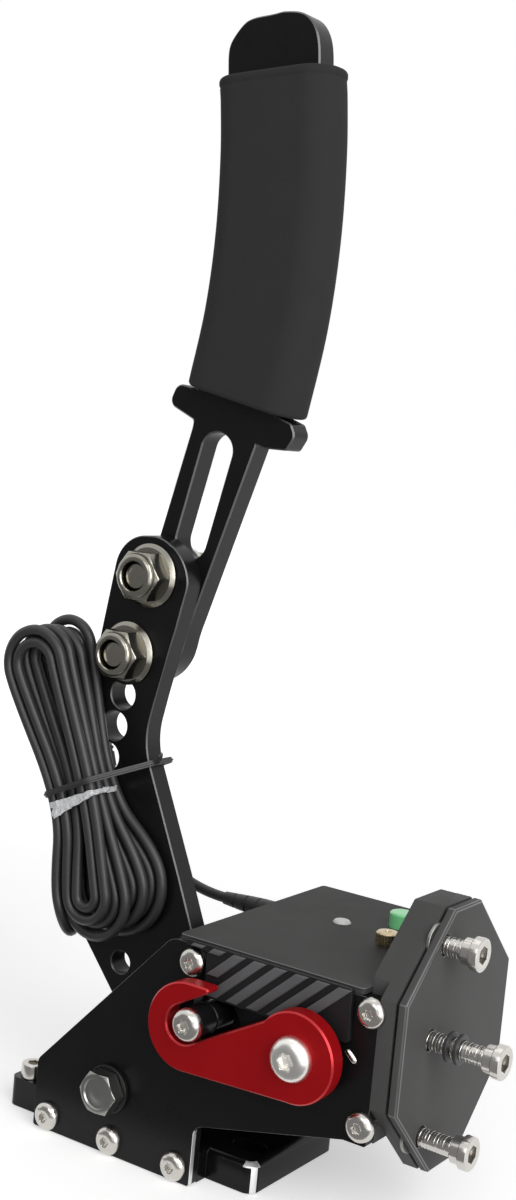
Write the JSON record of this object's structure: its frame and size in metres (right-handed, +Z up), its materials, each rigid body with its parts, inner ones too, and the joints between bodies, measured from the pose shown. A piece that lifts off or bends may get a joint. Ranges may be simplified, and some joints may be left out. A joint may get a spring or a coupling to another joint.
{
  "type": "sim racing handbrake",
  "caption": "Upright lever handbrake for a simulator rig: foam grip on a slotted bar, cable hank on the arm, red sensor arm, spring plunger and an octagonal adjuster plate.",
  "frame": {"origin": "on the underside of the base plate, below the lever's pivot axis and in the lever's middle plane", "axes": "+Z up along the lever, +X the way the lever is pulled, towards the adjuster plate, +Y towards the side with the lid's overhang"},
  "size_m": [0.2027, 0.1008, 0.3739],
  "materials": {
    "black_aluminium": "satin black anodised",
    "stainless_steel": "polished",
    "red_aluminium": "satin red anodised",
    "bronze": "satin",
    "brass": "polished",
    "magnet": "polished",
    "dark_foam": "matte foam",
    "black_rubber": "satin",
    "black_plastic": "satin",
    "grey_plastic": "matte",
    "clear_plastic": "gloss",
    "green_plastic": "gloss",
    "white_plastic": "diffuse",
    "board": "satin"
  },
  "bodies": {
    "frame": {"base_plate": "black_aluminium", "left_side_plate": "black_aluminium", "right_side_plate": "black_aluminium", "front_flange": "black_aluminium", "adjuster_plate": "black_aluminium", "spring_seat": "black_aluminium", "plate_washers": "stainless_steel", "preload_screw": "stainless_steel", "travel_screws": "stainless_steel", "base_screws": "stainless_steel", "flange_screws": "stainless_steel", "tray_screw": "stainless_steel", "rear_bolts": "stainless_steel", "pivot_bolt": "stainless_steel", "pivot_washers": "stainless_steel", "pivot_nut": "stainless_steel", "pivot_spacers": "stainless_steel", "rest_stop": "stainless_steel", "preload_spring": "stainless_steel", "sensor_bush": "bronze", "brass_screw": "brass", "lid_pillar": "brass", "preload_rings": "black_rubber", "cable_gland": "black_rubber", "cable_lead": "black_rubber", "electronics_tray": "black_plastic", "ribbed_side_panel": "black_plastic", "sensor_body": "black_plastic", "push_switch": "black_plastic", "board_spacers": "black_plastic", "board_parts": "black_plastic", "housing_lid": "grey_plastic", "status_light": "white_plastic", "circuit_board": "board"},
    "lever": {"lower_arm": "black_aluminium", "pivot_bush": "bronze", "handle_bar": "black_aluminium", "foam_grip": "dark_foam", "lever_bolts": "stainless_steel", "lever_washers": "stainless_steel", "lever_lock_nuts": "stainless_steel", "drive_pin_sleeve": "stainless_steel", "drive_pin_screw": "stainless_steel", "cable_hank": "black_rubber", "cable_tie": "clear_plastic", "usb_plug_housing": "black_rubber", "usb_plug_shell": "stainless_steel"},
    "sensor_rocker": {"sensor_arm": "red_aluminium", "sensor_shaft": "stainless_steel", "sensor_magnet": "magnet", "arm_screw": "stainless_steel"},
    "pusher": {"plunger": "black_aluminium"},
    "push_button": {"green_button": "green_plastic"}
  },
  "joints": [
    {"name": "lever_hinge", "type": "hinge", "parent": "frame", "child": "lever", "pos_m": [0, 0, 0.022], "axis": [0, 1, 0], "range_deg": [0, 12], "stiffness_Nm_per_rad": 40, "springref_deg": -4.58, "deforming": ["cable_lead"]},
    {"name": "sensor_rocker_hinge", "type": "hinge", "parent": "frame", "child": "sensor_rocker", "pos_m": [0.074, 0, 0.0566], "axis": [0, 1, 0], "range_deg": [-23, 0]},
    {"name": "pusher_slide", "type": "slide", "parent": "frame", "child": "pusher", "axis": [1, 0, 0], "range_m": [0, 0.0067], "deforming": ["preload_spring"]},
    {"name": "button_slide", "type": "slide", "parent": "frame", "child": "push_button", "axis": [0, 0, -1], "range_m": [0, 0.0011], "stiffness_N_per_m": 800, "springref_m": -0.0006}
  ],
  "couplings": [
    {"joint": "sensor_rocker_hinge", "follows": "lever_hinge", "ratio": -1.85},
    {"joint": "pusher_slide", "follows": "lever_hinge", "m_per_rad": 0.0318}
  ]
}
